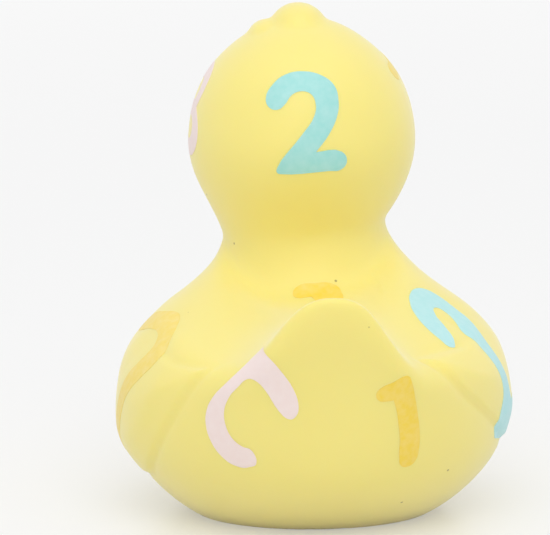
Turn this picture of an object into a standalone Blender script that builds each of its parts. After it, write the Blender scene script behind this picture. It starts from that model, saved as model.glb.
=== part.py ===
# A rubber duck: one hollow vinyl shell, moulded in one piece, with a squeaker snapped into its base.
# The duck faces -Y, its left side is +X, and the origin is on the floor under the middle of its length.
# Lengths are in metres. A reach is measured along Y from the widest part of the body, positive to the tail.

import math
from collections import namedtuple

import bmesh
import bpy
from mathutils import Matrix, Vector

# Body below the shoulders: an egg cut flat by the floor
BODY_HALF_WIDTH = 0.0363
BODY_HEIGHT = 0.0200
BODY_DROP = 0.0256
BREAST_REACH = -0.0430
RUMP_REACH = 0.0345
RUMP_TUCK = 1.4

# Shoulders, tail and the saddle between tail and neck
SHOULDER_HALF_WIDTH = 0.0292
SHOULDER_HEIGHT = 0.0375
TAIL_REACH = 0.0400
TAIL_HEIGHT = 0.0472
TAIL_SPREAD = 0.0126
TAIL_EDGE = 0.0030
FLANK_HEIGHT = 0.0295
SADDLE_REACH = 0.0130
SADDLE_HEIGHT = 0.0402

# Neck and head, on one upright axis
NECK_REACH = -0.0180
NECK_RADIUS = 0.0157
NECK_HEIGHT = 0.0510
THROAT_RISE = 0.0040
NECK_LEAN = 0.1000
HEAD_RADIUS = 0.0218
HEAD_HEIGHT = 0.0685
HEAD_ASIDE = 0.0004
CROWN_RISE = 0.0232
CHIN_DROP = 0.0214
HEAD_TILT = 0.0020

# Crown tuft: two lobes that stand out of the head
TUFT_RADIUS = 0.0059
TUFT_HEIGHT = 0.0947
TUFT_ASIDE = 0.0011
TUFT_SINK = 0.0029
TUFT_LENGTH_SHARE = 1.3
SIDE_LOBE_RADIUS = 0.0034
SIDE_LOBE_HEIGHT = 0.0916
SIDE_LOBE_ASIDE = 0.0080
SIDE_LOBE_SINK = 0.0020

# Bill
BILL_REACH = -0.0510
BILL_HALF_WIDTH = 0.0110
BILL_HEIGHT = 0.0622
UPPER_BILL_DEPTH = 0.0084
LOWER_BILL_DEPTH = 0.0056
LOWER_BILL_SETBACK = 0.0026
BILL_RISE = 0.0018
MOUTH_OVERLAP = 0.0005
# how far to the tip, how wide and how deep each ring of a half of the bill is, as shares
BILL_RINGS = ((0, 0.74, 1.00), (0.35, 0.80, 0.96), (0.62, 0.96, 0.78), (0.84, 1.00, 0.60), (0.95, 0.80, 0.46),
              (0.995, 0.40, 0.26))

# Wings: skins raised off the body and cut to an outline drawn in the side view, as (reach, height)
WING_RISE = 0.0024
WING_EDGE_SHARE = 0.35
WING_ROOT = 0.0150
LEFT_WING_OUTLINE = (
    (0.0295, 0.0325), (0.0252, 0.0272), (0.0208, 0.0207), (0.0154, 0.0139), (0.0075, 0.0088),
    (-0.0060, 0.0080), (-0.0180, 0.0120), (-0.0245, 0.0200), (-0.0225, 0.0300), (-0.0130, 0.0385),
    (0.0010, 0.0412), (0.0120, 0.0350), (0.0210, 0.0326))
RIGHT_WING_OUTLINE = (
    (0.0305, 0.0338), (0.0260, 0.0270), (0.0197, 0.0214), (0.0130, 0.0168), (0.0040, 0.0134),
    (-0.0080, 0.0118), (-0.0180, 0.0140), (-0.0245, 0.0210), (-0.0225, 0.0310), (-0.0130, 0.0410),
    (0.0010, 0.0425), (0.0120, 0.0380), (0.0220, 0.0346))

# Shell, and the rim in its base that the squeaker snaps into
WALL = 0.0020
BASE_THICKNESS = 0.0036
BASE_REACH = -0.0030

# Squeaker: a flange below the rim, a neck through it and a lip above it
SQUEAKER_FLANGE_RADIUS = 0.0085
SQUEAKER_FLANGE = 0.0012
SQUEAKER_NECK_RADIUS = 0.0062
SQUEAKER_LIP_RADIUS = 0.0070
SQUEAKER_LIP = 0.0024
AIR_HOLE_RADIUS = 0.0012
FLOOR_CLEARANCE = 0.0004
FIT = 0.0003
RECESS_DEPTH = FLOOR_CLEARANCE + SQUEAKER_FLANGE + FIT

# Overall middle of the length, which the origin is placed under
MIDDLE_REACH = (BILL_REACH + TAIL_REACH) / 2

RING_ANGLES = (0, 34, 66, 94, 118, 140, 160, 180)
FITTING_ROUNDS = 12

Ring = namedtuple("Ring", "half_width middle side_z front front_z rear rear_z flank_z lean aside",
                  defaults=[0, 0])


def mix(a, b, share):
    return a + (b - a) * share


def egg_ring(degrees):
    # a level ring of the lower body, at an angle below its widest line
    across = math.cos(math.radians(degrees))
    z = BODY_HEIGHT - BODY_DROP * math.sin(math.radians(degrees))
    rear = RUMP_REACH * across ** RUMP_TUCK
    return Ring(BODY_HALF_WIDTH * across, 0, z, BREAST_REACH * across, z, rear, z, z)


def head_ring(degrees, tilt=0.0):
    # a ring of the head's ball, at an angle above its middle, with its front higher by the tilt
    half = CROWN_RISE if degrees > 0 else CHIN_DROP

    def radius(height):
        return HEAD_RADIUS * math.sqrt(1 - ((height - HEAD_HEIGHT) / half) ** 2)
    z = HEAD_HEIGHT + half * math.sin(math.radians(degrees))
    return Ring(radius(z), NECK_REACH, z, NECK_REACH - radius(z + tilt), z + tilt,
                NECK_REACH + radius(z - tilt), z - tilt, z - tilt, aside=HEAD_ASIDE)


def front_point(share):
    # the breast's profile, from its fullest point (0) to the front of the neck (1)
    ease = share * share * (3 - 2 * share)
    return (mix(BREAST_REACH, NECK_REACH - NECK_RADIUS, ease),
            mix(BODY_HEIGHT, NECK_HEIGHT + THROAT_RISE, share))


def torso_ring(inward, up, forward, back, back_up, flank_up):
    # a ring between the body's widest line (0) and the tail's edge (1), each value a share of the way
    return Ring(mix(BODY_HALF_WIDTH, SHOULDER_HALF_WIDTH, inward), 0, mix(BODY_HEIGHT, SHOULDER_HEIGHT, up),
                *front_point(forward),
                mix(RUMP_REACH, TAIL_REACH, back), mix(BODY_HEIGHT, TAIL_HEIGHT - TAIL_EDGE / 2, back_up),
                mix(BODY_HEIGHT, FLANK_HEIGHT, flank_up))


def saddle_ring(inward, forward, rear, rear_z, flank_z):
    # a ring between the tail's edge (0) and the neck (1), which crosses the saddle at the given rear point
    return Ring(mix(SHOULDER_HALF_WIDTH, NECK_RADIUS, 1 - (1 - inward) ** 1.8), NECK_REACH * inward,
                mix(SHOULDER_HEIGHT, NECK_HEIGHT, inward ** 0.9), *front_point(forward),
                rear, rear_z, flank_z, NECK_LEAN * inward)


def duck_rings():
    # from the floor to the crown; on each ring the shares say how far it has gone inward, up, forward or back
    neck_rear = NECK_REACH + NECK_RADIUS
    ahead = mix(TAIL_REACH, SADDLE_REACH, 0.45)
    behind = mix(SADDLE_REACH, neck_rear, 0.72)
    nape_z = mix(SADDLE_HEIGHT, NECK_HEIGHT, 0.13)
    return [
        egg_ring(68), egg_ring(48), egg_ring(26), egg_ring(6),
        torso_ring(0.20, 0.48, 0.24, 0.45, 0.42, 0.50),
        torso_ring(0.58, 0.80, 0.40, 0.88, 0.80, 0.82),
        torso_ring(1.00, 1.00, 0.52, 1.00, 1.00, 1.00),
        saddle_ring(0.16, 0.60, TAIL_REACH - 0.6 * TAIL_EDGE, TAIL_HEIGHT + 0.1 * TAIL_EDGE,
                    FLANK_HEIGHT + TAIL_EDGE / 2),
        saddle_ring(0.42, 0.70, ahead, mix(SADDLE_HEIGHT, TAIL_HEIGHT, 0.36),
                    mix(FLANK_HEIGHT, SADDLE_HEIGHT, 0.50)),
        saddle_ring(0.68, 0.81, SADDLE_REACH, SADDLE_HEIGHT, mix(FLANK_HEIGHT, SADDLE_HEIGHT, 0.90)),
        saddle_ring(0.88, 0.91, behind, nape_z, nape_z),
        Ring(NECK_RADIUS, NECK_REACH, NECK_HEIGHT + HEAD_TILT / 2, *front_point(1.0),
             neck_rear, NECK_HEIGHT - HEAD_TILT, NECK_HEIGHT - HEAD_TILT, NECK_LEAN),
        head_ring(-34, HEAD_TILT), head_ring(-12), head_ring(12), head_ring(38), head_ring(66),
    ]


def ring_points(ring):
    # the front half is a tilted oval; behind the widest line the ring dips to the flank and rises to the tail
    points = []
    for degrees in RING_ANGLES + tuple(360 - a for a in reversed(RING_ANGLES[1:-1])):
        across, along = math.sin(math.radians(degrees)), -math.cos(math.radians(degrees))
        x = ring.half_width * across
        if along <= 0:
            y = ring.middle + (ring.middle - ring.front) * along
            z = mix(ring.side_z, ring.front_z, along ** 2)
        else:
            y = ring.middle + (ring.rear - ring.middle) * along
            ridge = math.exp(-(abs(x) / TAIL_SPREAD) ** 3)
            z = mix(mix(ring.side_z, ring.flank_z, along ** 1.2), ring.rear_z, ridge * along)
        points.append(Vector((x + ring.aside, y - MIDDLE_REACH, z - ring.lean * x)))
    return points


def smooth_target(vert, centres):
    # where a subdivided cage comes to lie at one of its corners
    count = len(vert.link_edges)
    faces = sum((centres[face] for face in vert.link_faces), Vector()) / count
    middles, edges = Vector(), Vector()
    for edge in vert.link_edges:
        ends = vert.co + edge.other_vert(vert).co
        middles += ends / 2 / count
        edges += (ends + sum((centres[face] for face in edge.link_faces), Vector())) / 4 / count
    corner = (faces + 2 * middles + (count - 3) * vert.co) / count
    return (count * corner + 4 * edges + faces) / (count + 5)


def loft(name, rings, levels, inset=0.0, lowest=None):
    """A smooth closed form through rings of points, with both ends closed to a pole."""
    bm = bmesh.new()
    rows = [[bm.verts.new(point) for point in ring] for ring in rings]
    count = len(rows[0])
    for below, above in zip(rows, rows[1:]):
        for i in range(count):
            j = (i + 1) % count
            bm.faces.new((below[i], below[j], above[j], above[i]))
    for row, step in ((rows[0], -1), (rows[-1], 1)):
        inner = rows[1] if step < 0 else rows[-2]
        middle = sum((v.co for v in row), Vector()) / count
        lift = (middle - sum((v.co for v in inner), Vector()) / count) * 0.35
        pole = bm.verts.new(middle + lift)
        for i in range(count):
            pair = (row[i], row[(i + 1) % count])
            bm.faces.new((pair + (pole,))[::step])
    bm.normal_update()
    goals = {v: v.co - v.normal * inset for v in bm.verts}
    if lowest is not None:
        for goal in goals.values():
            goal.z = max(goal.z, lowest)
    for _ in range(FITTING_ROUNDS):
        centres = {face: face.calc_center_median() for face in bm.faces}
        shift = {v: goals[v] - smooth_target(v, centres) for v in bm.verts}
        for v, step in shift.items():
            v.co += step
    mesh = bpy.data.meshes.new(name)
    bm.to_mesh(mesh)
    bm.free()
    piece = bpy.data.objects.new(name, mesh)
    smooth = piece.modifiers.new("smooth", "SUBSURF")
    smooth.levels = smooth.render_levels = levels
    return piece


def place(piece, group, cutter=False):
    group.objects.link(piece)
    if cutter:
        piece.hide_render = True
        piece.display_type = "WIRE"
    return piece


def combine(piece, other, operation):
    step = piece.modifiers.new(f"{operation.lower()} {other.name}", "BOOLEAN")
    step.operation = operation
    step.object = other
    step.solver = "EXACT"
    return step


def material(name, colour, roughness):
    finish = bpy.data.materials.new(name)
    finish.use_nodes = True
    shader = finish.node_tree.nodes["Principled BSDF"]
    shader.inputs["Base Color"].default_value = (*colour, 1)
    shader.inputs["Roughness"].default_value = roughness
    shader.inputs["Metallic"].default_value = 0.0
    return finish


def bm_object(name, bm):
    mesh = bpy.data.meshes.new(name)
    bm.to_mesh(mesh)
    bm.free()
    return bpy.data.objects.new(name, mesh)


def wing_prism(name, outline, side):
    # the wing's outline as a closed curve in the side view, drawn out sideways past the body
    curve = bpy.data.curves.new(name, "CURVE")
    curve.dimensions = "2D"
    curve.fill_mode = "BOTH"
    curve.extrude = BODY_HALF_WIDTH / 2
    root = WING_ROOT + curve.extrude
    curve.resolution_u = 4
    spline = curve.splines.new("BEZIER")
    spline.use_cyclic_u = True
    spline.bezier_points.add(len(outline) - 1)
    for point, (reach, height) in zip(spline.bezier_points, outline):
        point.co = (reach - MIDDLE_REACH, height, 0)
        point.handle_left_type = point.handle_right_type = "AUTO"
    tip = spline.bezier_points[0]
    tip.handle_left_type = tip.handle_right_type = "VECTOR"
    drawn = bpy.data.objects.new(name, curve)
    bpy.context.scene.collection.objects.link(drawn)
    turned = Matrix(((0, 0, 1, 0), (1, 0, 0, 0), (0, 1, 0, 0), (0, 0, 0, 1)))
    drawn.matrix_world = Matrix.Translation((side * root, 0, 0)) @ turned
    bpy.context.view_layer.update()
    mesh = bpy.data.meshes.new_from_object(drawn.evaluated_get(bpy.context.evaluated_depsgraph_get()))
    bm = bmesh.new()
    bm.from_mesh(mesh)
    bmesh.ops.remove_doubles(bm, verts=bm.verts, dist=0.00001)
    bm.transform(drawn.matrix_world)
    bmesh.ops.recalc_face_normals(bm, faces=bm.faces)
    bpy.data.objects.remove(drawn)
    return bm_object(name, bm)


def raised_skin(name, levels):
    # the lower duck once more, raised most at the wings' middle and less towards the shoulders and the tail
    rings = []
    for ring in duck_rings()[:9]:
        points = ring_points(ring)
        for i, p in enumerate(points):
            out = Vector((p.x, p.y + MIDDLE_REACH - ring.middle, 0)).normalized()
            beside = (abs(p.x) / ring.half_width) ** 5
            above = min(1, max(0, (p.z - BODY_HEIGHT) / (SHOULDER_HEIGHT - BODY_HEIGHT)))
            below = min(1, max(0, (BODY_HEIGHT - p.z) / BODY_HEIGHT))
            level = mix(1, WING_EDGE_SHARE, above ** 2 + below ** 2)
            points[i] = p + out * WING_RISE * level * mix(WING_EDGE_SHARE, 1, beside)
        rings.append(points)
    return loft(name, rings, levels)


def lobe(name, radius, aside, sink, top):
    # a ball sunk a little into the crown, and stretched where its top stands higher than its radius
    crown = HEAD_HEIGHT + CROWN_RISE * math.sqrt(1 - ((aside - HEAD_ASIDE) / HEAD_RADIUS) ** 2)
    centre = Vector((aside, NECK_REACH - MIDDLE_REACH, crown - sink))
    bm = bmesh.new()
    bmesh.ops.create_uvsphere(bm, u_segments=16, v_segments=10, radius=radius)
    stretch = Matrix.Diagonal((1, TUFT_LENGTH_SHARE, (top - centre.z) / radius, 1))
    bm.transform(Matrix.Translation(centre) @ stretch)
    return bm_object(name, bm)


def mandible(name, reach, depth, side):
    # half of the bill, above (1) or below (-1) the mouth: flat ovals from inside the head to a round tip
    rings = []
    root = NECK_REACH - 0.6 * HEAD_RADIUS
    for share, width, height in BILL_RINGS:
        y = mix(root, reach, share) - MIDDLE_REACH
        z = BILL_HEIGHT + BILL_RISE * share ** 2 + side * (depth * height - MOUTH_OVERLAP) / 2
        rings.append([Vector((BILL_HALF_WIDTH * width * math.cos(a), y, z + depth / 2 * height * math.sin(a)))
                      for a in (math.radians(36 * k) for k in range(10))])
    return loft(name, rings, 1)


def turned(name, profile, steps, through=False):
    # a turned solid from (radius, height) points, listed down its outer side and closed where it has a bore
    mesh = bpy.data.meshes.new(name)
    edges = [(i, i + 1) for i in range(len(profile) - 1)]
    if through:
        edges.append((len(profile) - 1, 0))
    mesh.from_pydata([(r, 0, z) for r, z in profile], edges, [])
    piece = bpy.data.objects.new(name, mesh)
    screw = piece.modifiers.new("turn", "SCREW")
    screw.steps = screw.render_steps = steps
    screw.use_merge_vertices = True
    screw.merge_threshold = 0.00001
    return piece


def make_body(parts, cutters):
    body = place(loft("duck_body", [ring_points(r) for r in duck_rings()], 2), parts)
    for side, outline, word in ((1, LEFT_WING_OUTLINE, "left"), (-1, RIGHT_WING_OUTLINE, "right")):
        skin = place(raised_skin(f"{word}_wing_skin", 2), cutters, True)
        combine(skin, place(wing_prism(f"{word}_wing_outline", outline, side), cutters, True), "INTERSECT")
        combine(body, skin, "UNION")
    main = lobe("tuft_main", TUFT_RADIUS, TUFT_ASIDE, TUFT_SINK, TUFT_HEIGHT)
    beside = lobe("tuft_side", SIDE_LOBE_RADIUS, SIDE_LOBE_ASIDE, SIDE_LOBE_SINK, SIDE_LOBE_HEIGHT)
    for part in (main, beside):
        combine(body, place(part, cutters, True), "UNION")
    upper = mandible("bill_upper", BILL_REACH, UPPER_BILL_DEPTH, 1)
    lower = mandible("bill_lower", BILL_REACH + LOWER_BILL_SETBACK, LOWER_BILL_DEPTH, -1)
    for half in (upper, lower):
        combine(body, place(half, cutters, True), "UNION")
    inside = [ring_points(r) for i, r in enumerate(duck_rings()) if i not in (0, 7)]
    hollow = loft("hollow", inside, 1, WALL, BASE_THICKNESS)
    combine(body, place(hollow, cutters, True), "DIFFERENCE")
    return body


def cut_base(body, cutters):
    # the floor cut, and one turned cut for the recess and for the neck that the squeaker snaps into
    deep = BODY_DROP - BODY_HEIGHT + WALL
    bm = bmesh.new()
    bmesh.ops.create_cube(bm, size=1)
    wide = 4 * BODY_HALF_WIDTH
    bm.transform(Matrix.Translation((0, 0, -deep / 2)) @ Matrix.Diagonal((wide, wide, deep, 1)))
    combine(body, place(bm_object("floor", bm), cutters, True), "DIFFERENCE")
    hole, recess, past = SQUEAKER_NECK_RADIUS + FIT, SQUEAKER_FLANGE_RADIUS + FIT, BASE_THICKNESS + WALL
    profile = [(0, past), (hole, past), (hole, RECESS_DEPTH),
               (recess, RECESS_DEPTH), (recess, -WALL), (0, -WALL)]
    cut = place(turned("base_hole", profile, 32), cutters, True)
    cut.location.y = BASE_REACH - MIDDLE_REACH
    combine(body, cut, "DIFFERENCE")
    return body


def make_squeaker(parts):
    below = FLOOR_CLEARANCE
    neck_top = BASE_THICKNESS + FIT
    lip_top = neck_top + SQUEAKER_LIP
    profile = [(AIR_HOLE_RADIUS, lip_top), (mix(SQUEAKER_NECK_RADIUS, AIR_HOLE_RADIUS, 0.2), lip_top),
               (SQUEAKER_LIP_RADIUS, neck_top + SQUEAKER_LIP / 3), (SQUEAKER_LIP_RADIUS, neck_top),
               (SQUEAKER_NECK_RADIUS, neck_top), (SQUEAKER_NECK_RADIUS, below + SQUEAKER_FLANGE),
               (SQUEAKER_FLANGE_RADIUS, below + SQUEAKER_FLANGE), (SQUEAKER_FLANGE_RADIUS, below),
               (AIR_HOLE_RADIUS, below)]
    squeaker = place(turned("squeaker", profile, 32, through=True), parts)
    squeaker.location.y = BASE_REACH - MIDDLE_REACH
    return squeaker


def main():
    for old in list(bpy.data.objects):
        bpy.data.objects.remove(old)
    parts = bpy.data.collections.new("rubber_duck")
    cutters = bpy.data.collections.new("cutters")
    for group in (parts, cutters):
        bpy.context.scene.collection.children.link(group)
    body = cut_base(make_body(parts, cutters), cutters)
    body.data.materials.append(material("yellow_vinyl", (0.91, 0.80, 0.26), 0.5))
    squeaker = make_squeaker(parts)
    squeaker.data.materials.append(material("white_plastic", (0.85, 0.84, 0.80), 0.4))
    for piece in (body, squeaker):
        piece.data.shade_smooth()


main()
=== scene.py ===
import math
from collections import namedtuple

import bmesh
import bpy
import numpy as np
from mathutils import Matrix, Vector


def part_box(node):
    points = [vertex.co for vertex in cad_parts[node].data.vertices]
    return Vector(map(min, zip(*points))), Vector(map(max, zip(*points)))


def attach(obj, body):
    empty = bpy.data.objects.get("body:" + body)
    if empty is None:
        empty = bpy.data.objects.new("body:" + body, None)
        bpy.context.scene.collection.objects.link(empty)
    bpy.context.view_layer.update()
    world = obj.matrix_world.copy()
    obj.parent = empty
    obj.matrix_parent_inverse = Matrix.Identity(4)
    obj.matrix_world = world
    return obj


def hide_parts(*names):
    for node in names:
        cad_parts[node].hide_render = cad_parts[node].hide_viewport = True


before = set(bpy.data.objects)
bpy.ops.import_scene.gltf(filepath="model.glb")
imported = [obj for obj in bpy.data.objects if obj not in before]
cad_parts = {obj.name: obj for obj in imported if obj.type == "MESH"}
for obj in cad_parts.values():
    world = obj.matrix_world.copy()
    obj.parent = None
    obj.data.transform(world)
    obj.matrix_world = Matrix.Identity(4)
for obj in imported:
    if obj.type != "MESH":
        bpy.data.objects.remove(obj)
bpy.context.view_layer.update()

mm = 0.001


# helpers

def mix(a, b, share):
    return a + (b - a) * share


def deselect():
    if bpy.context.object and bpy.context.object.mode != "OBJECT":
        bpy.ops.object.mode_set(mode="OBJECT")
    bpy.ops.object.select_all(action="DESELECT")


def pick(*objs):
    deselect()
    for obj in objs:
        obj.select_set(True)
    bpy.context.view_layer.objects.active = objs[0]


def applyModifier(obj, kind, **settings):
    pick(obj)
    step = obj.modifiers.new(kind.lower(), kind)
    for key, value in settings.items():
        setattr(step, key, value)
    bpy.ops.object.modifier_apply(modifier=step.name)


def applyPlace(obj):
    pick(obj)
    bpy.ops.object.transform_apply(location=True, rotation=True, scale=True)


def pointPlaces(obj):
    places = np.empty(len(obj.data.vertices) * 3)
    obj.data.vertices.foreach_get("co", places)
    return places.reshape(-1, 3)


def weighGroup(obj, name, weight, low=0.0):  # a vertex group that holds low to 1 as 0 to 1, in steps
    group = obj.vertex_groups.new(name=name)
    steps = 128
    levels = np.round((weight - low) / (1 - low) * steps)
    for level in range(1, steps + 1):
        chosen = np.nonzero(levels == level)[0]
        if len(chosen):
            group.add([int(i) for i in chosen], level / steps, "REPLACE")
    return group.name


# the duck's form, which faces -Y and has its left side at +X

duck = {
    "halfWidth": 36.3 * mm, "widestHeight": 20.0 * mm, "drop": 25.6 * mm,
    "breastReach": -43.0 * mm, "rumpReach": 34.5 * mm, "rumpTuck": 1.4,
    "shoulderHalfWidth": 29.2 * mm, "shoulderHeight": 37.5 * mm,
    "tailReach": 40.0 * mm, "tailHeight": 47.2 * mm, "tailSpread": 13.4 * mm, "tailEdge": 3.0 * mm,
    "tailAside": 1.3 * mm,
    "flankHeight": 29.5 * mm, "saddleReach": 13.0 * mm, "saddleHeight": 40.2 * mm,
    "neckReach": -18.0 * mm, "neckRadius": 15.7 * mm, "neckHeight": 51.0 * mm, "neckLean": 0.10,
    "headRadius": 21.8 * mm, "crownRise": 23.2 * mm, "chinDrop": 21.4 * mm, "headHeight": 68.5 * mm,
    "headAside": 0.4 * mm,
    "billReach": -51.0 * mm,
    "voxel": 0.585 * mm, "rub": 0.5, "rubRounds": 6,  # how fine it is remeshed, then how it is rubbed smooth
}
duck["middleReach"] = (duck["billReach"] + duck["tailReach"]) / 2  # the origin is in the middle of the length
ringAngles = (0, 24, 46, 68, 88, 106, 122, 136, 149, 160, 170, 180)  # from the breast round to the tail
Ring = namedtuple("Ring", "halfWidth middle sideZ front frontZ rear rearZ flankZ lean aside spread",
                  defaults=[0, 0, 1])


def eggRing(degrees):  # a level ring of the lower body
    across = math.cos(math.radians(degrees))
    z = duck["widestHeight"] - duck["drop"] * math.sin(math.radians(degrees))
    rear = duck["rumpReach"] * across ** duck["rumpTuck"]
    return Ring(duck["halfWidth"] * across, 0, z, duck["breastReach"] * across, z, rear, z, z)


def headRing(degrees, tilt=0.0):  # a ring of the head, level or dipping forward
    half = duck["crownRise"] if degrees > 0 else duck["chinDrop"]

    def radius(height):
        return duck["headRadius"] * math.sqrt(1 - ((height - duck["headHeight"]) / half) ** 2)
    z = duck["headHeight"] + half * math.sin(math.radians(degrees))
    reach = duck["neckReach"]
    return Ring(radius(z), reach, z, reach - radius(z + tilt), z + tilt,
                reach + radius(z - tilt), z - tilt, z - tilt, 0, duck["headAside"])


def frontPoint(share):  # the breast's profile, from its fullest point to the front of the neck
    ease = share * share * (3 - 2 * share)
    return (mix(duck["breastReach"], duck["neckReach"] - duck["neckRadius"], ease),
            mix(duck["widestHeight"], duck["neckHeight"] + 4 * mm, share))


def torsoRing(inward, up, forward, back, backUp, flankUp):  # between the widest line and the tail's edge
    low = duck["widestHeight"]
    return Ring(mix(duck["halfWidth"], duck["shoulderHalfWidth"], inward), 0,
                mix(low, duck["shoulderHeight"], up), *frontPoint(forward),
                mix(duck["rumpReach"], duck["tailReach"], back),
                mix(low, duck["tailHeight"] - duck["tailEdge"] / 2, backUp),
                mix(low, duck["flankHeight"], flankUp))


def saddleRing(inward, forward, rear, rearZ, flankZ, spread=1.0):  # between the tail's edge and the neck
    return Ring(mix(duck["shoulderHalfWidth"], duck["neckRadius"], 1 - (1 - inward) ** 1.8),
                duck["neckReach"] * inward, mix(duck["shoulderHeight"], duck["neckHeight"], inward ** 0.9),
                *frontPoint(forward), rear, rearZ, flankZ, duck["neckLean"] * inward, 0, spread)


def duckRings():  # from the base to the crown
    neckRear = duck["neckReach"] + duck["neckRadius"]
    saddle, neck = duck["saddleHeight"], duck["neckHeight"]
    tail, flank = duck["tailHeight"], duck["flankHeight"]
    edge, reach = duck["tailEdge"], duck["tailReach"]
    return [
        eggRing(68), eggRing(48), eggRing(26), eggRing(6),
        torsoRing(0.20, 0.48, 0.24, 0.45, 0.42, 0.50),
        torsoRing(0.58, 0.80, 0.40, 0.88, 0.80, 0.82),
        torsoRing(1.00, 1.00, 0.52, 1.00, 1.00, 1.00),
        saddleRing(0.16, 0.60, reach - 0.6 * edge, tail + 0.1 * edge, flank + 0.9 * mm, 0.93),
        saddleRing(0.42, 0.70, mix(reach, duck["saddleReach"], 0.45), mix(saddle, tail, 0.36),
                   mix(flank, saddle, 0.40), 0.88),
        saddleRing(0.68, 0.81, duck["saddleReach"], saddle, mix(flank, saddle, 0.90)),
        saddleRing(0.88, 0.91, mix(duck["saddleReach"], neckRear, 0.72), mix(saddle, neck, 0.13),
                   mix(saddle, neck, 0.13)),
        Ring(duck["neckRadius"], duck["neckReach"], neck + 1 * mm, *frontPoint(1.0),
             neckRear, neck - 2 * mm, neck - 2 * mm, duck["neckLean"]),
        headRing(-34, 2 * mm), headRing(-12), headRing(12), headRing(38), headRing(66),
    ]


def ringPoints(ring):  # behind the middle, the tail's ridge rises out of the line of the flanks
    points = []
    for degrees in ringAngles + tuple(360 - a for a in reversed(ringAngles[1:-1])):
        across, along = math.sin(math.radians(degrees)), -math.cos(math.radians(degrees))
        x = ring.halfWidth * across
        if along <= 0:
            y = ring.middle + (ring.middle - ring.front) * along
            z = mix(ring.sideZ, ring.frontZ, along ** 2)
        else:
            y = ring.middle + (ring.rear - ring.middle) * along
            ridge = math.exp(-(abs(x - duck["tailAside"]) / duck["tailSpread"] / ring.spread) ** 3)
            z = mix(mix(ring.sideZ, ring.flankZ, along ** 1.2), ring.rearZ, ridge * along)
        points.append(Vector((x + ring.aside, y - duck["middleReach"], z - ring.lean * x)))
    return points


def smoothTarget(vert, centres):  # where Subdivision Surface will bring this corner of the cage
    count = len(vert.link_edges)
    faces = sum((centres[face] for face in vert.link_faces), Vector()) / count
    middles = sum(((vert.co + edge.other_vert(vert).co) / 2 for edge in vert.link_edges), Vector()) / count
    corner = (faces + 2 * middles + (count - 3) * vert.co) / count
    beside = {edge: sum((centres[face] for face in edge.link_faces), Vector()) for edge in vert.link_edges}
    edges = sum(((vert.co + edge.other_vert(vert).co + beside[edge]) / 4 for edge in vert.link_edges),
                Vector()) / count
    return (count * corner + 4 * edges + faces) / (count + 5)


loft = {"poleLift": 0.35, "fitRounds": 12, "sameSpot": 0.001 * mm}


def raiseRings(name, rings):
    # a circle is extruded ring by ring, each ring is laid in its place, and both ends are merged to a pole
    deselect()
    bpy.ops.mesh.primitive_circle_add(vertices=len(rings[0]), radius=rings[0][0].length)
    obj = bpy.context.object
    obj.name = obj.data.name = name
    bpy.ops.object.mode_set(mode="EDIT")
    bpy.ops.mesh.select_all(action="SELECT")
    cage = bmesh.from_edit_mesh(obj.data)
    for vert, place in zip(cage.verts, rings[0]):
        vert.co = place
    first = list(rings[0])
    for last, ring in zip(rings, rings[1:]):
        bpy.ops.mesh.extrude_region_move()
        cage = bmesh.from_edit_mesh(obj.data)
        for vert in [v for v in cage.verts if v.select]:
            vert.co = ring[min(range(len(last)), key=lambda k: (vert.co - last[k]).length)]
        bmesh.update_edit_mesh(obj.data)
    for end, inner in ((rings[-1], rings[-2]), (first, rings[1])):
        cage = bmesh.from_edit_mesh(obj.data)
        bpy.ops.mesh.select_all(action="DESELECT")
        for vert in cage.verts:
            vert.select = any((vert.co - place).length < loft["sameSpot"] for place in end)
        cage.select_flush(True)
        lift = (sum(end, Vector()) - sum(inner, Vector())) / len(end) * loft["poleLift"]
        bpy.ops.mesh.extrude_region_move(TRANSFORM_OT_translate={"value": lift})
        bpy.ops.mesh.merge(type="CENTER")
    bpy.ops.mesh.select_all(action="SELECT")
    bpy.ops.mesh.normals_make_consistent(inside=False)
    cage = bmesh.from_edit_mesh(obj.data)
    goals = {v: v.co.copy() for v in cage.verts}  # the smooth surface is made to go through these
    for attempt in range(loft["fitRounds"]):
        centres = {f: f.calc_center_median() for f in cage.faces}
        shift = {v: goals[v] - smoothTarget(v, centres) for v in cage.verts}
        for v, step in shift.items():
            v.co += step
    bmesh.update_edit_mesh(obj.data)
    bpy.ops.object.mode_set(mode="OBJECT")
    return obj


tuft = {
    "radius": 5.9 * mm, "top": 94.7 * mm, "aside": 1.1 * mm, "stretch": (1, 1.25, 1),
    "sideRadius": 4.1 * mm, "sideTop": 91.6 * mm, "sideAside": 7.0 * mm, "sideStretch": (1, 1.4, 1),
}


def lobe(name, radius, centre, stretch):
    deselect()
    bpy.ops.mesh.primitive_uv_sphere_add(segments=32, ring_count=20, radius=radius, location=centre)
    obj = bpy.context.object
    obj.name = obj.data.name = name
    bpy.ops.object.mode_set(mode="EDIT")
    bpy.ops.mesh.select_all(action="SELECT")
    bpy.ops.transform.resize(value=stretch)
    bpy.ops.object.mode_set(mode="OBJECT")
    applyPlace(obj)
    return obj


soften = {
    "rub": 0.7, "rubRounds": 70,
    # where the form is rubbed smoother on both sides, as x, y, z and how far it reaches, in mm
    "spots": ((19, 36, 33, 5.5), (25, 28, 33, 6), (12, 5, 44, 9)),
}


def softenForm(form):
    places = pointPlaces(form) / mm
    places[:, 0] = abs(places[:, 0])
    weight = np.zeros(len(places))
    for x, y, z, reach in soften["spots"]:
        far = np.linalg.norm(places - (x, y, z), axis=1)
        weight = np.maximum(weight, np.exp(-(far / reach) ** 2))
    name = weighGroup(form, "soften", weight)
    applyModifier(form, "SMOOTH", vertex_group=name, factor=soften["rub"], iterations=soften["rubRounds"])


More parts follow.
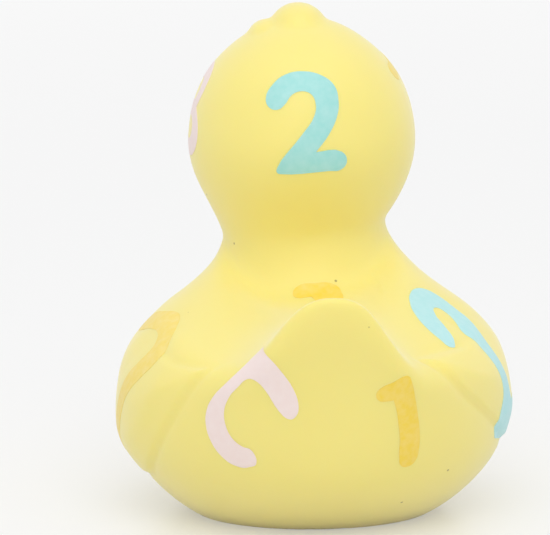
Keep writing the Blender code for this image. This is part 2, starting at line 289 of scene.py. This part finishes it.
def makeForm():
    form = raiseRings("vinyl_body", [ringPoints(r) for r in duckRings()])
    applyModifier(form, "SUBSURF", levels=3, render_levels=3)
    headY = duck["neckReach"] - duck["middleReach"]
    crown = (tuft["aside"], headY, tuft["top"] - tuft["radius"])
    side = (tuft["sideAside"], headY, tuft["sideTop"] - tuft["sideRadius"])
    lobes = [lobe("tuft_main", tuft["radius"], crown, tuft["stretch"]),
             lobe("tuft_side", tuft["sideRadius"], side, tuft["sideStretch"])]
    pick(form, *lobes)
    bpy.ops.object.join()
    applyModifier(form, "REMESH", mode="VOXEL", voxel_size=duck["voxel"], use_smooth_shade=True)
    applyModifier(form, "SMOOTH", factor=duck["rub"], iterations=duck["rubRounds"])
    softenForm(form)
    return form


# wings, raised on the form

wings = {
    "rise": 1.5 * mm, "groove": 0.25 * mm, "innerEdge": 12 * mm, "rubRounds": 2,
    # the lip's share of the rise, then how wide lip, groove, swell and soft swell are, in mm
    "lip": 0.38, "lipWidth": 1.3, "grooveWidth": 0.7, "slope": 7, "softSlope": 15,
    # side view, reach and height in mm, then how soft the edge is, from 0 to 1
    "left": ((26.4, 32.8, 0), (25.5, 29.9, 0), (24.0, 26.6, 0), (21.6, 22.4, 0), (18.3, 17.3, 0),
             (13.6, 12.4, 0), (7.5, 8.8, 0.1), (-6.0, 8.0, 0.5), (-18.0, 12.0, 0.9), (-24.5, 20.0, 1),
             (-22.5, 30.0, 1), (-13.0, 38.5, 1), (1.0, 41.2, 1), (8.5, 36.8, 1), (13.2, 33.6, 0.5),
             (18.0, 32.5, 0), (22.2, 32.5, 0)),
    "right": ((29.2, 34.3, 0), (29.0, 31.2, 0), (26.6, 27.2, 0), (21.9, 23.0, 0), (17.2, 19.6, 0),
              (12.0, 16.0, 0), (4.0, 13.4, 0.1), (-8.0, 11.8, 0.5), (-18.0, 14.0, 0.9), (-24.5, 21.0, 1),
              (-22.5, 31.0, 1), (-13.0, 43.5, 1), (1.0, 46.0, 1), (9.0, 41.5, 1), (13.0, 36.4, 0.6),
              (18.0, 34.7, 0), (23.5, 34.5, 0)),
}


def smoothLoop(points, steps):  # a closed smooth curve through the points, with the first one kept sharp
    points = np.array(points, float)
    count = len(points)
    out = []
    for i in range(count):
        p0, p1, p2, p3 = (points[(i + k) % count] for k in (-1, 0, 1, 2))
        if i == 0:
            p0 = p1 + (p1 - p2)
        if i == count - 1:
            p3 = p2 + (p2 - p1)
        for k in range(steps):
            t = k / steps
            out.append(0.5 * (2 * p1 + (p2 - p0) * t + (2 * p0 - 5 * p1 + 4 * p2 - p3) * t ** 2
                              + (3 * p1 - p0 - 3 * p2 + p3) * t ** 3))
    return np.array(out)


def edgeDistance(spots, loop):
    # distance of each spot inside the loop (negative outside), and the nearest loop point's third value
    best = np.full(len(spots), 1e9)
    value = np.zeros(len(spots))
    inside = np.zeros(len(spots), bool)
    for a, b in zip(loop, np.roll(loop, -1, axis=0)):
        run = b[:2] - a[:2]
        share = np.clip(((spots - a[:2]) @ run) / (run @ run), 0, 1)
        gap = np.linalg.norm(spots - (a[:2] + share[:, None] * run), axis=1)
        nearer = gap < best
        best = np.where(nearer, gap, best)
        value = np.where(nearer, a[2] + share * (b[2] - a[2]), value)
        crosses = (a[1] > spots[:, 1]) != (b[1] > spots[:, 1])
        with np.errstate(divide="ignore", invalid="ignore"):
            at = a[0] + (spots[:, 1] - a[1]) / (b[1] - a[1]) * (b[0] - a[0])
        inside ^= crosses & (spots[:, 0] < at)
    return np.where(inside, best, -best), value


def raiseWings(form):
    places = pointPlaces(form)
    spots = np.stack(((places[:, 1] + duck["middleReach"]) / mm, places[:, 2] / mm), axis=1)
    for side, word in ((1, "left"), (-1, "right")):
        depth, soft = edgeDistance(spots, smoothLoop(wings[word], 8))
        soft = np.clip(soft, 0, 1)
        lip = (1 - (1 - np.clip(depth / wings["lipWidth"], 0, 1)) ** 2) * wings["lip"] * (1 - soft)
        share = np.clip(depth / mix(wings["slope"], wings["softSlope"], soft), 0, 1)
        weight = lip + share * share * (3 - 2 * share) * (1 - wings["lip"] * (1 - soft))
        groove = np.exp(-(depth / wings["grooveWidth"]) ** 2)
        weight -= (1 - soft) * wings["groove"] / wings["rise"] * groove
        weight[places[:, 0] * side < wings["innerEdge"]] = 0
        low = -0.25  # room for the groove, which the second Displace takes back from the whole form
        name = weighGroup(form, word + "_wing", weight, low)
        applyModifier(form, "DISPLACE", vertex_group=name, direction="NORMAL", mid_level=0,
                      strength=wings["rise"] * (1 - low))
        applyModifier(form, "DISPLACE", direction="NORMAL", mid_level=0, strength=wings["rise"] * low)
    applyModifier(form, "SMOOTH", factor=duck["rub"], iterations=wings["rubRounds"])


# base, cut flat, with a recess, a hole and a chamber for the squeaker

base = {
    "gap": 0.3 * mm, "hole": 6.5 * mm, "chamber": 9.0 * mm, "flangeRoom": 1.9 * mm, "rim": 3.6 * mm,
    "top": 9.0 * mm, "overlap": 1 * mm, "below": 5 * mm,
}


def cutBase(form):
    pick(form)
    bpy.ops.object.mode_set(mode="EDIT")
    bpy.ops.mesh.select_all(action="SELECT")
    bpy.ops.mesh.bisect(plane_co=(0, 0, 0), plane_no=(0, 0, 1), use_fill=True, clear_inner=True)
    bpy.ops.object.mode_set(mode="OBJECT")
    low, high = (Vector(corner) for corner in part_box("squeaker"))
    middle, flange = (low + high) / 2, (high.x - low.x) / 2
    for radius, bottom, top in ((flange + base["gap"], -base["below"], base["flangeRoom"]),
                                (base["hole"], 0, base["rim"] + base["overlap"]),
                                (base["chamber"], base["rim"], base["top"])):
        deselect()
        bpy.ops.mesh.primitive_cylinder_add(vertices=64, radius=radius, depth=top - bottom,
                                            location=(middle.x, middle.y, (top + bottom) / 2))
        cutter = bpy.context.object
        applyModifier(form, "BOOLEAN", operation="DIFFERENCE", object=cutter, solver="EXACT")
        bpy.data.objects.remove(cutter)


# bill, two halves that are joined inside the head

bill = {
    "height": 62.2 * mm, "halfWidth": 11.0 * mm, "upperDepth": 8.4 * mm, "lowerDepth": 5.6 * mm,
    "setback": 2.6 * mm, "rise": 1.8 * mm, "mouth": 0.25 * mm, "rootDepth": 0.6,
    # share of the way to the tip, width and depth at each ring of a half
    "rings": ((0, 0.74, 1.00), (0.35, 0.80, 0.96), (0.62, 0.96, 0.78), (0.84, 1.00, 0.60),
              (0.95, 0.80, 0.46), (0.995, 0.40, 0.26)),
    "corners": 12, "edgeAngle": 40,
    "colour": (0.86, 0.35, 0.045), "roughness": 0.4, "patchScale": 300, "paler": 0.05, "grain": 0.05,
}


def makeBillHalf(name, reach, depth, side):
    root = duck["neckReach"] - bill["rootDepth"] * duck["headRadius"]
    angles = [math.radians(360 / bill["corners"] * k) for k in range(bill["corners"])]
    rings = []
    for share, width, height in bill["rings"]:
        y = mix(root, reach, share) - duck["middleReach"]
        z = bill["height"] + bill["rise"] * share ** 2 + side * (0.5 * depth * height - bill["mouth"])
        across, up = bill["halfWidth"] * width, depth / 2 * height
        rings.append([Vector((across * math.cos(a), y, z + up * math.sin(a))) for a in angles])
    half = raiseRings(name, rings)
    applyModifier(half, "SUBSURF", levels=3, render_levels=3)
    return half


def makeBill():
    upper = makeBillHalf("bill", duck["billReach"], bill["upperDepth"], 1)
    lower = makeBillHalf("bill_lower", duck["billReach"] + bill["setback"], bill["lowerDepth"], -1)
    applyModifier(upper, "BOOLEAN", operation="UNION", object=lower, solver="EXACT")
    bpy.data.objects.remove(lower)
    pick(upper)
    bpy.ops.object.shade_smooth_by_angle(angle=math.radians(bill["edgeAngle"]))
    return upper


# printed numerals and eyes, thin skins of ink that follow the form

inks = {
    "blue_ink": (0.33, 0.69, 0.66), "pink_ink": (0.88, 0.73, 0.70), "orange_ink": (0.91, 0.66, 0.07),
    "pale_orange_ink": (0.90, 0.70, 0.15), "pale_blue_ink": (0.44, 0.76, 0.78),
    "black_ink": (0.012, 0.011, 0.010), "white_ink": (0.85, 0.85, 0.85),
}
inkSkin = {
    "rise": 0.06 * mm, "depth": 44, "margin": 1.2 * mm, "edgeAngle": 35,  # depth is the slab's, in mm
    "roughness": 0.42, "patchScale": 700, "paler": 0.10,
}
prints = {
    # where each is centred and which way it faces, in mm, then its outline seen from there
    # a third value of 1 in a point keeps that corner sharp
    "two_on_head": {
        "ink": "blue_ink", "at": (2, 5, 72.6), "facing": (0.105, 0.98, 0.17),
        "outline": ((-7.1, 5.7), (-5.8, 8.3), (-3.4, 10.2), (0.0, 10.8), (3.6, 9.9), (5.8, 8.0), (6.5, 5.2),
                    (6.3, 2.6), (4.7, -1.1), (2.3, -4.4, 1), (7.1, -4.3), (8.1, -5.9), (7.0, -7.6),
                    (4.7, -7.9), (-4.0, -8.5), (-5.0, -8.2), (-4.9, -7.2), (-0.4, -1.3), (2.0, 2.4),
                    (2.2, 4.8), (1.4, 6.4), (-0.2, 7.0), (-2.1, 6.4), (-3.7, 4.3), (-5.0, 3.5),
                    (-6.5, 4.0))},
    "three_on_head": {
        "ink": "pink_ink", "at": (21, -12.5, 74), "facing": (1, 0.05, 0.15),
        "outline": ((-5.0, 6.6), (-6.2, 7.8), (-5.0, 9.0), (-2.2, 9.8), (0.6, 9.6), (3.2, 8.3), (4.5, 5.6),
                    (4.2, 3.0), (3.4, 1.2, 1), (5.4, -0.6), (6.7, -3.4), (6.2, -5.8), (4.2, -7.6),
                    (1.0, -8.4), (-2.6, -8.0), (-5.6, -6.6), (-6.2, -5.4), (-5.2, -4.3), (-2.4, -5.0),
                    (0.6, -5.2), (2.6, -4.4), (3.1, -3.0), (2.3, -1.4), (0.0, -0.7), (-2.4, -0.6),
                    (-3.5, 0.6), (-2.4, 1.9), (0.0, 2.3), (1.2, 3.4), (1.5, 5.0), (0.6, 6.3), (-1.2, 6.7),
                    (-3.4, 6.3))},
    "one_on_head": {
        "ink": "pale_orange_ink", "at": (-18, -12.5, 79), "facing": (-0.85, 0.1, 0.5),
        "outline": ((-7.3, 2.8), (-6.9, 4.1), (-3.2, 4.9), (0.5, 6.6), (2.8, 7.0), (3.4, 6.0), (3.2, 0.0),
                    (2.9, -8.0), (2.5, -13.2), (0.8, -14.6), (-0.9, -13.2), (-0.7, -6.0), (-0.5, 1.0),
                    (-0.8, 3.0, 1), (-3.4, 1.8), (-5.4, 0.9), (-6.9, 1.6))},
    "one_on_saddle": {
        "ink": "orange_ink", "at": (0, 14, 41), "facing": (0, 0.35, 0.94),
        "outline": ((-4.2, 7.2), (-3.5, 8.3), (0.0, 8.5), (4.0, 8.2), (4.8, 7.2), (4.6, 0.0), (4.2, -8.0),
                    (3.8, -13.6), (1.8, -15.6), (-0.2, -13.6), (-0.3, -6.0), (-0.3, 4.4), (-0.9, 5.6, 1),
                    (-3.7, 5.9))},
    "three_on_tail": {
        "ink": "pink_ink", "at": (16, 36, 27), "facing": (0.5, 0.55, 0.67),
        "outline": ((2.4, 6.8, 1), (0.9, 4.6), (-2.3, 1.3), (-5.3, -1.2), (-6.8, -3.0), (-7.2, -4.9),
                    (-6.3, -7.1), (-4.4, -8.5), (-2.0, -8.9), (0.4, -8.4), (1.9, -7.4), (1.5, -6.5),
                    (-0.3, -6.4), (-2.0, -5.8), (-2.9, -4.7), (-3.1, -3.0), (-1.9, -1.0), (0.1, 0.7),
                    (2.1, 2.1), (3.9, 2.2), (5.3, 1.6), (7.0, -0.1), (8.2, -0.5), (9.6, 0.4), (10.2, 2.1),
                    (9.7, 3.6), (8.5, 4.7), (5.6, 6.4), (3.6, 8.4, 1))},
    "one_on_tail": {
        "ink": "orange_ink", "at": (-11, 39, 24), "facing": (-0.25, 0.93, -0.25),
        "outline": ((0.5, 9.1), (-1.6, 7.9), (-3.8, 6.7), (-4.5, 5.4), (-3.9, 4.3), (-2.6, 4.1),
                    (-1.1, 4.3, 1), (-0.4, 2.4), (0.2, 0.0), (0.9, -3.6), (1.2, -7.4), (1.8, -9.2),
                    (3.2, -9.6), (4.6, -8.7), (5.1, -5.8), (4.9, -3.0), (4.2, 0.4), (3.1, 4.4), (1.9, 8.0),
                    (1.4, 8.9))},
    "two_on_wing": {
        "ink": "pale_blue_ink", "at": (-31, 14, 30), "facing": (-0.78, 0.30, 0.55),
        "outline": ((-14.4, 6.2), (-13.9, 7.5), (-11.9, 10.6), (-8.6, 14.0), (-5.4, 16.2), (-2.4, 17.5),
                    (0.4, 17.7), (2.0, 16.6), (2.3, 14.3), (1.2, 10.8), (0.0, 7.5), (-1.2, 4.5),
                    (-2.1, 1.1), (-1.8, -2.8), (-0.4, -6.6), (0.8, -9.4, 1), (8.6, -9.4), (10.2, -11.4),
                    (8.6, -13.4), (-3.6, -14.0), (-5.8, -13.2), (-5.8, -10.4), (-5.1, -8.3), (-5.2, -5.7),
                    (-6.1, -2.6), (-6.8, 0.6), (-6.8, 3.8), (-6.4, 6.4), (-5.0, 8.1), (-2.7, 11.1),
                    (-2.6, 12.6), (-3.8, 12.9), (-5.4, 12.0), (-8.6, 8.9), (-12.4, 5.6), (-13.7, 5.2))},
    "one_on_wing": {
        "ink": "pale_orange_ink", "at": (33, 10, 28), "facing": (0.80, 0.25, 0.55),
        "outline": ((-11.2, 9.0), (-9.4, 10.6), (-3.3, 12.1), (-0.1, 12.9), (1.5, 12.6), (4.5, 11.0),
                    (8.1, 7.9), (9.8, 4.8), (9.6, 2.4), (7.5, -0.8), (4.4, -3.9), (1.6, -7.0), (-0.1, -9.7),
                    (-1.8, -12.4), (-4.0, -14.2), (-6.0, -13.4), (-5.8, -11.2), (-3.6, -7.8), (-1.3, -4.6),
                    (0.3, -2.3), (3.6, 1.5), (4.9, 4.6), (4.2, 6.4), (2.3, 7.6), (-1.8, 7.7), (-6.1, 6.8),
                    (-10.2, 7.0))},
}
eyes = {
    "turn": 42, "rise": 12, "wide": 2.3, "high": 3.0, "depth": 12,  # degrees from straight ahead, then mm
    "glint": 0.8, "glintAside": 0.6, "glintUp": 1.2, "glintRise": 1.6 * inkSkin["rise"],
}


def placeFrame(at, facing):  # x to the right, y up and z out, for someone who looks at the print
    out = Vector(facing).normalized()
    up = (Vector((0, 0, 1)) - out * out.z).normalized()
    right = up.cross(out)
    return Matrix.Translation(Vector(at) * mm) @ Matrix((right, up, out)).transposed().to_4x4()


def cutOutline(outline, seat, depth):  # a thick slab of the outline's shape, pushed into the form
    deselect()
    bpy.ops.curve.primitive_bezier_circle_add()
    slab = bpy.context.object
    slab.data.dimensions, slab.data.fill_mode, slab.data.resolution_u = "2D", "BOTH", 4
    spline = slab.data.splines[0]
    spline.bezier_points.add(len(outline) - len(spline.bezier_points))
    for spot, (u, v, *sharp) in zip(spline.bezier_points, outline):
        spot.co = (u * mm, v * mm, 0)
        spot.handle_left_type = spot.handle_right_type = "VECTOR" if sharp else "AUTO"
    bpy.ops.object.convert(target="MESH")
    bpy.ops.object.mode_set(mode="EDIT")
    bpy.ops.mesh.select_all(action="SELECT")
    bpy.ops.mesh.remove_doubles(threshold=0.01 * mm)
    bpy.ops.transform.translate(value=(0, 0, depth / 2))
    bpy.ops.mesh.extrude_region_move(TRANSFORM_OT_translate={"value": (0, 0, -depth)})
    bpy.ops.mesh.select_all(action="SELECT")
    bpy.ops.mesh.normals_make_consistent(inside=False)
    bpy.ops.object.mode_set(mode="OBJECT")
    slab.matrix_world = seat
    applyPlace(slab)
    return slab


def faceVectors(obj, key):
    values = np.empty(len(obj.data.polygons) * 3)
    obj.data.polygons.foreach_get(key, values)
    return values.reshape(-1, 3)


def printOn(form, name, spec, rise=inkSkin["rise"]):
    seat = placeFrame(spec["at"], spec["facing"])
    depth = spec.get("depth", inkSkin["depth"]) * mm
    slab = cutOutline(spec["outline"], seat, depth)

    # the form's faces under the outline and close around it become a thin skin, which the slab trims
    inverse = np.array(seat.inverted())
    middles, normals = (faceVectors(form, key) @ inverse[:3, :3].T for key in ("center", "normal"))
    middles += inverse[:3, 3]
    loop = np.array([point[:2] + (0,) for point in spec["outline"]]) * mm
    margin = inkSkin["margin"]
    near = (normals[:, 2] > 0.05) & (abs(middles[:, 2]) < depth / 2)
    for k in (0, 1):
        near &= (middles[:, k] > loop[:, k].min() - margin) & (middles[:, k] < loop[:, k].max() + margin)
    inside, _ = edgeDistance(middles[near, :2], loop)
    near[near] = inside > -margin
    pick(form)
    bpy.ops.object.mode_set(mode="EDIT")
    bpy.ops.mesh.select_all(action="DESELECT")
    bpy.ops.object.mode_set(mode="OBJECT")
    form.data.polygons.foreach_set("select", near)
    bpy.ops.object.mode_set(mode="EDIT")
    bpy.ops.mesh.duplicate()
    bpy.ops.mesh.separate(type="SELECTED")
    bpy.ops.object.mode_set(mode="OBJECT")
    skin = next(obj for obj in bpy.context.selected_objects if obj != form)
    skin.name = skin.data.name = name
    skin.vertex_groups.clear()
    skin.data.materials.clear()
    applyModifier(skin, "SOLIDIFY", thickness=1.5 * rise, offset=1 / 3)  # a third is sunk into the form
    applyModifier(skin, "BOOLEAN", operation="INTERSECT", object=slab, solver="EXACT")
    bpy.data.objects.remove(slab)
    pick(skin)
    bpy.ops.object.shade_smooth_by_angle(angle=math.radians(inkSkin["edgeAngle"]))
    skin.data.materials.append(inkMaterial(spec["ink"]))
    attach(skin, "root")
    return skin


def oval(wide, high, aside=0, up=0):
    angles = [math.radians(45 * k) for k in range(8)]
    return [(aside + wide * math.cos(a), up + high * math.sin(a)) for a in angles]


def printAll(form):
    for name, spec in prints.items():
        skin = printOn(form, name, spec)
        print("printed", name, len(skin.data.polygons), "faces")
    for side, word in ((1, "left"), (-1, "right")):
        turn, rise = math.radians(eyes["turn"]), math.radians(eyes["rise"])
        level = math.cos(rise)
        out = Vector((side * math.sin(turn) * level, -math.cos(turn) * level, math.sin(rise)))
        headY = duck["neckReach"] - duck["middleReach"]
        middle = Vector((duck["headAside"], headY, duck["headHeight"])) / mm
        spot = {"at": middle + out * duck["headRadius"] / mm, "facing": out, "depth": eyes["depth"]}
        printOn(form, word + "_eye", dict(spot, ink="black_ink", outline=oval(eyes["wide"], eyes["high"])))
        glint = oval(eyes["glint"], eyes["glint"], -side * eyes["glintAside"], eyes["glintUp"])
        printOn(form, word + "_eye_glint", dict(spot, ink="white_ink", outline=glint), eyes["glintRise"])


# materials

def newMaterial(name, colour, roughness):
    finish = bpy.data.materials.new(name)
    finish.use_nodes = True
    nodes, links = finish.node_tree.nodes, finish.node_tree.links
    shader = nodes["Principled BSDF"]
    shader.inputs["Base Color"].default_value = (*colour, 1)
    shader.inputs["Roughness"].default_value = roughness
    return finish, nodes, links, shader


def noiseRamp(nodes, links, where, scale, low, high, span):  # patches between two colours
    noise = nodes.new("ShaderNodeTexNoise")
    noise.inputs["Scale"].default_value = scale
    noise.inputs["Detail"].default_value = 3
    links.new(where.outputs["Object"], noise.inputs["Vector"])
    ramp = nodes.new("ShaderNodeValToRGB")
    for stop, place, colour in zip(ramp.color_ramp.elements, span, (low, high)):
        stop.position, stop.color = place, (*colour, 1)
    links.new(noise.outputs["Fac"], ramp.inputs["Fac"])
    return ramp


def addGrain(nodes, links, where, shader, scale, strength):
    grain = nodes.new("ShaderNodeTexNoise")
    grain.inputs["Scale"].default_value = scale
    links.new(where.outputs["Object"], grain.inputs["Vector"])
    bump = nodes.new("ShaderNodeBump")
    bump.inputs["Strength"].default_value = strength
    bump.inputs["Distance"].default_value = 0.1 * mm
    links.new(grain.outputs["Fac"], bump.inputs["Height"])
    links.new(bump.outputs["Normal"], shader.inputs["Normal"])


def shifted(colour, amount):
    return tuple(min(1, max(0, c + amount)) for c in colour)


vinyl = {
    "colour": (0.90, 0.777, 0.217), "variation": 0.008, "patchScale": 40, "patchSpan": (0.3, 0.7),
    "roughness": 0.5, "sheen": 0.45, "grain": 0.04, "grainScale": 1800,
    "subsurface": 0.2, "subsurfaceScale": 3 * mm, "subsurfaceRadius": (1.0, 0.7, 0.15),
    "speck": (0.30, 0.22, 0.06), "speckScale": 150, "speckSize": 0.03, "speckBlur": 1.5,
    "speckStrength": 0.8,
}


def vinylMaterial():
    finish, nodes, links, shader = newMaterial("yellow_vinyl", vinyl["colour"], vinyl["roughness"])
    shader.inputs["Sheen Weight"].default_value = vinyl["sheen"]
    shader.inputs["Subsurface Weight"].default_value = vinyl["subsurface"]
    shader.inputs["Subsurface Radius"].default_value = vinyl["subsurfaceRadius"]
    shader.inputs["Subsurface Scale"].default_value = vinyl["subsurfaceScale"]
    where = nodes.new("ShaderNodeTexCoord")
    spread = vinyl["variation"]
    patches = noiseRamp(nodes, links, where, vinyl["patchScale"], shifted(vinyl["colour"], -spread),
                        shifted(vinyl["colour"], spread), vinyl["patchSpan"])
    cells = nodes.new("ShaderNodeTexVoronoi")
    cells.inputs["Scale"].default_value = vinyl["speckScale"]
    links.new(where.outputs["Object"], cells.inputs["Vector"])
    dot = nodes.new("ShaderNodeMapRange")  # a few specks in the vinyl
    dot.inputs["From Min"].default_value = vinyl["speckSize"]
    dot.inputs["From Max"].default_value = vinyl["speckBlur"] * vinyl["speckSize"]
    dot.inputs["To Min"].default_value, dot.inputs["To Max"].default_value = vinyl["speckStrength"], 0
    links.new(cells.outputs["Distance"], dot.inputs["Value"])
    both = nodes.new("ShaderNodeMix")
    both.data_type = "RGBA"
    both.inputs["B"].default_value = (*vinyl["speck"], 1)
    links.new(dot.outputs["Result"], both.inputs["Factor"])
    links.new(patches.outputs["Color"], both.inputs["A"])
    links.new(both.outputs["Result"], shader.inputs["Base Color"])
    addGrain(nodes, links, where, shader, vinyl["grainScale"], vinyl["grain"])
    return finish


def mottledMaterial(name, colour, look):  # inks, paint and hard plastic, with paler patches
    finish, nodes, links, shader = newMaterial(name, colour, look["roughness"])
    where = nodes.new("ShaderNodeTexCoord")
    pale = tuple(mix(c, 1, look["paler"]) for c in colour)
    ramp = noiseRamp(nodes, links, where, look["patchScale"], colour, pale, (0.35, 0.75))
    links.new(ramp.outputs["Color"], shader.inputs["Base Color"])
    if "grain" in look:
        addGrain(nodes, links, where, shader, 4 * look["patchScale"], look["grain"])
    return finish


def inkMaterial(name):
    if name in bpy.data.materials:
        return bpy.data.materials[name]
    return mottledMaterial(name, inks[name], inkSkin)


# the duck

form = makeForm()
print("form made,", len(form.data.vertices), "points")
raiseWings(form)
print("wings raised")
cutBase(form)
form.data.materials.clear()
form.data.materials.append(vinylMaterial())
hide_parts("duck_body")
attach(form, "root")
printAll(form)

orangeBill = makeBill()
orangeBill.data.materials.append(mottledMaterial("orange_paint", bill["colour"], bill))
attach(orangeBill, "root")
print("bill made")

squeaker = {
    "colour": (0.83, 0.82, 0.78), "roughness": 0.35, "patchScale": 400, "paler": 0.06, "grain": 0.05,
}
squeakerPlastic = mottledMaterial("squeaker_plastic", squeaker["colour"], squeaker)
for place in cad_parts["squeaker"].material_slots:
    place.material = squeakerPlastic
print("squeaker finished")

# camera, stage and light

view = {
    "azimuth": 174, "elevation": 10, "distance": 700 * mm, "aimHeight": 46.5 * mm, "sensor": 36,
    "pixelsPerMm": 5.26, "aimPixel": (311, 261.5), "photoSize": (550, 535),
}


def makeCamera():
    a, e = math.radians(view["azimuth"]), math.radians(view["elevation"])
    back = Vector((math.sin(a) * math.cos(e), -math.cos(a) * math.cos(e), math.sin(e)))
    turn = (-back).to_track_quat("-Z", "Y")
    wide, high = view["photoSize"]
    right, up = turn @ Vector((1, 0, 0)), turn @ Vector((0, 1, 0))
    aimX, aimY = view["aimPixel"]
    off = (right * (wide / 2 - aimX) + up * (aimY - high / 2)) / view["pixelsPerMm"] * mm
    data = bpy.data.cameras.new("photo_camera")
    data.sensor_width = view["sensor"]
    data.lens = view["sensor"] * view["distance"] / (wide / view["pixelsPerMm"] * mm)
    data.clip_start, data.clip_end = 0.01, 20
    camera = bpy.data.objects.new("photo_camera", data)
    bpy.context.scene.collection.objects.link(camera)
    camera.rotation_mode = "QUATERNION"
    camera.rotation_quaternion = turn
    camera.location = Vector((0, 0, view["aimHeight"])) + back * view["distance"] + off
    bpy.context.scene.camera = camera


def seenShare(nodes, links):  # 1 for the camera and for reflections, 0 for the light that falls on things
    ray = nodes.new("ShaderNodeLightPath")
    total = ray.outputs["Is Camera Ray"]
    for name in ("Is Glossy Ray", "Is Transmission Ray"):
        both = nodes.new("ShaderNodeMath")
        both.operation, both.use_clamp = "ADD", True
        links.new(total, both.inputs[0])
        links.new(ray.outputs[name], both.inputs[1])
        total = both.outputs[0]
    return total


def mixShaders(nodes, links, share, first, second, output):
    both = nodes.new("ShaderNodeMixShader")
    links.new(share, both.inputs[0])
    links.new(first.outputs[0], both.inputs[1])
    links.new(second.outputs[0], both.inputs[2])
    links.new(both.outputs[0], output.inputs["Surface"])


stage = {
    "size": 6, "level": -0.03 * mm, "colour": (0.86, 0.86, 0.855), "roughness": 0.3,
    # how white it glows near the duck and further off, and between which distances, in metres
    "nearGlow": 0.33, "farGlow": 0.92, "glowFrom": 0.15, "glowTo": 1.6,
}


def makeFloor():  # pale and a little glossy, and it glows to white further off
    deselect()
    bpy.ops.mesh.primitive_plane_add(size=stage["size"], location=(0, 0, stage["level"]))
    floor = bpy.context.object
    floor.name = "floor"
    applyPlace(floor)
    finish, nodes, links, shader = newMaterial("floor", stage["colour"], stage["roughness"])
    glow = nodes.new("ShaderNodeEmission")
    where = nodes.new("ShaderNodeTexCoord")
    far = nodes.new("ShaderNodeVectorMath")
    far.operation = "LENGTH"
    links.new(where.outputs["Object"], far.inputs[0])
    fade = nodes.new("ShaderNodeMapRange")
    for key, name in (("From Min", "glowFrom"), ("From Max", "glowTo"),
                      ("To Min", "nearGlow"), ("To Max", "farGlow")):
        fade.inputs[key].default_value = stage[name]
    links.new(far.outputs["Value"], fade.inputs["Value"])
    share = nodes.new("ShaderNodeMath")
    share.operation = "MULTIPLY"
    links.new(seenShare(nodes, links), share.inputs[0])
    links.new(fade.outputs["Result"], share.inputs[1])
    mixShaders(nodes, links, share.outputs[0], shader, glow, nodes["Material Output"])
    floor.data.materials.append(finish)


light = {
    "keySize": 900 * mm, "keyPower": 3.9, "keyPlace": (0.05, 0.62, 0.90),
    "worldColour": (0.95, 0.955, 0.96), "worldStrength": 0.88,
    "seen": 0.95,  # the white that the camera and reflections get of the world
}


def makeStudio():  # one soft lamp behind and above the duck, in a pale world
    scene = bpy.context.scene
    scene.view_settings.view_transform = "Standard"
    scene.world = bpy.data.worlds.new("studio")
    scene.world.use_nodes = True
    nodes, links = scene.world.node_tree.nodes, scene.world.node_tree.links
    back = nodes["Background"]
    back.inputs["Color"].default_value = (*light["worldColour"], 1)
    back.inputs["Strength"].default_value = light["worldStrength"]
    seen = nodes.new("ShaderNodeBackground")
    seen.inputs["Color"].default_value = (light["seen"],) * 3 + (1,)
    mixShaders(nodes, links, seenShare(nodes, links), back, seen, nodes["World Output"])

    data = bpy.data.lights.new("key", "AREA")
    data.size = light["keySize"]
    data.energy = light["keyPower"]
    key = bpy.data.objects.new("key", data)
    scene.collection.objects.link(key)
    key.location = light["keyPlace"]
    key.rotation_mode = "QUATERNION"
    key.rotation_quaternion = (-Vector(light["keyPlace"])).to_track_quat("-Z", "Y")


makeCamera()
makeFloor()
makeStudio()
print("camera, stage and light set")
